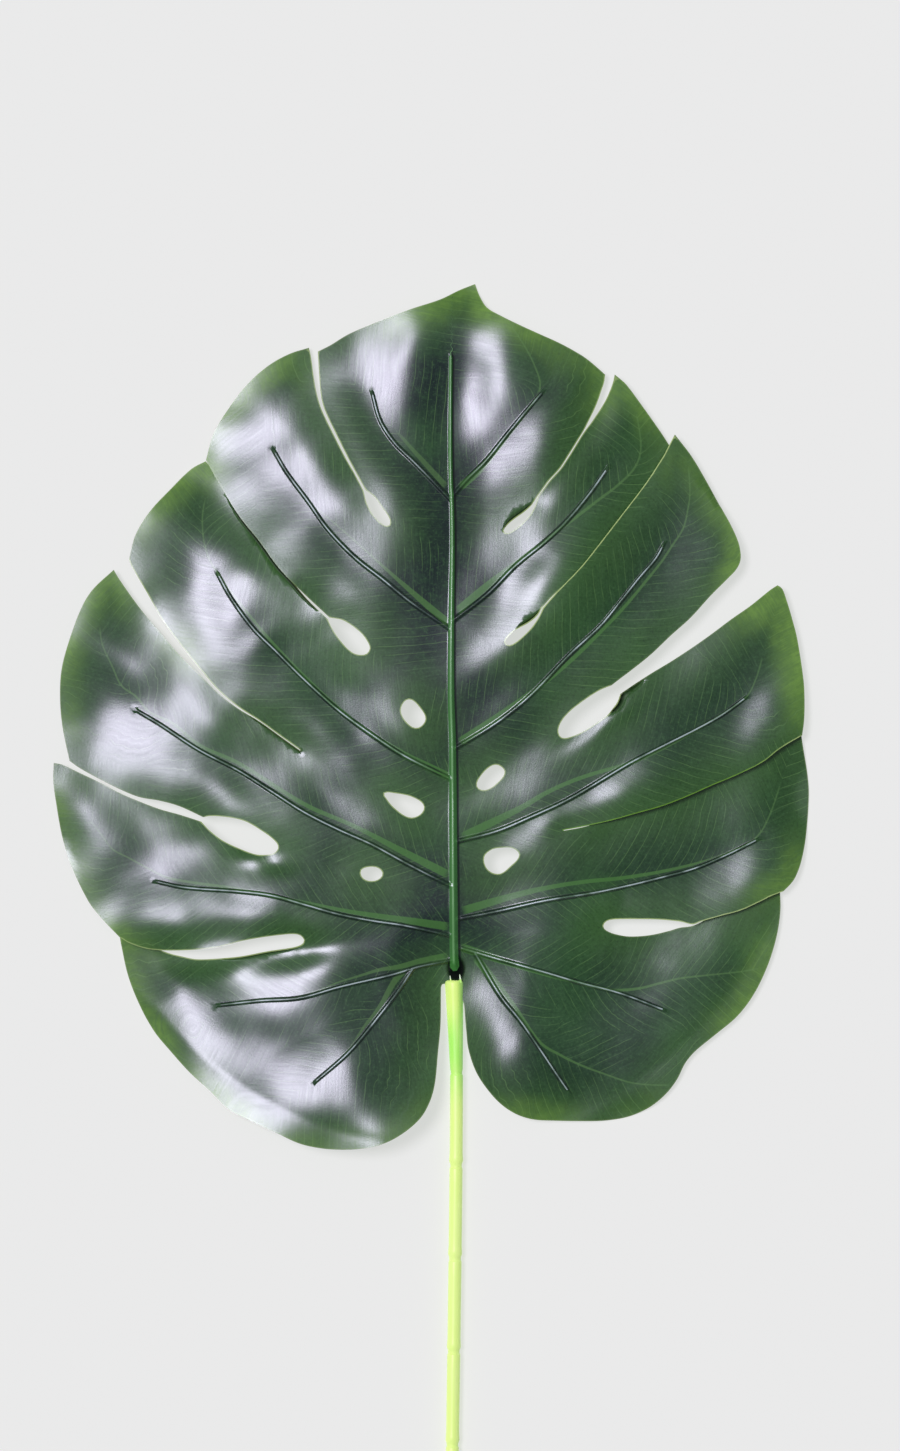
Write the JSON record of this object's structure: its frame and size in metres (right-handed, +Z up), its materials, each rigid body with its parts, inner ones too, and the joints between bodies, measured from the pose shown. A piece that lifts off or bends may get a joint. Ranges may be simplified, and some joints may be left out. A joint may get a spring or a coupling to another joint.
{
  "type": "artificial monstera leaf",
  "caption": "Artificial monstera leaf lying face up: a split, holed and ribbed green blade on a moulded rib frame, plugged into the collar of a ring-jointed stem.",
  "frame": {"origin": "on the table the leaf lies on, below the middle of the whole leaf and stem", "axes": "X across the blade, Y from the stem's cut end to the leaf's tip, Z up out of the blade's printed face"},
  "size_m": [0.3022, 0.5016, 0.0153],
  "materials": {
    "printed_blade": "pressed and printed plastic-coated sheet, dark green with lighter veins and yellow-green rims, glossy",
    "moulded_ribs": "moulded mid-green plastic, slightly glossy",
    "stem_plastic": "bright yellow-green moulded plastic, soft sheen",
    "core_wire": "plain drawn steel wire"
  },
  "bodies": {
    "root": {"leaf_blade": "printed_blade", "rib_frame": "moulded_ribs", "stem": "stem_plastic", "stem_wire": "core_wire"}
  },
  "joints": []
}
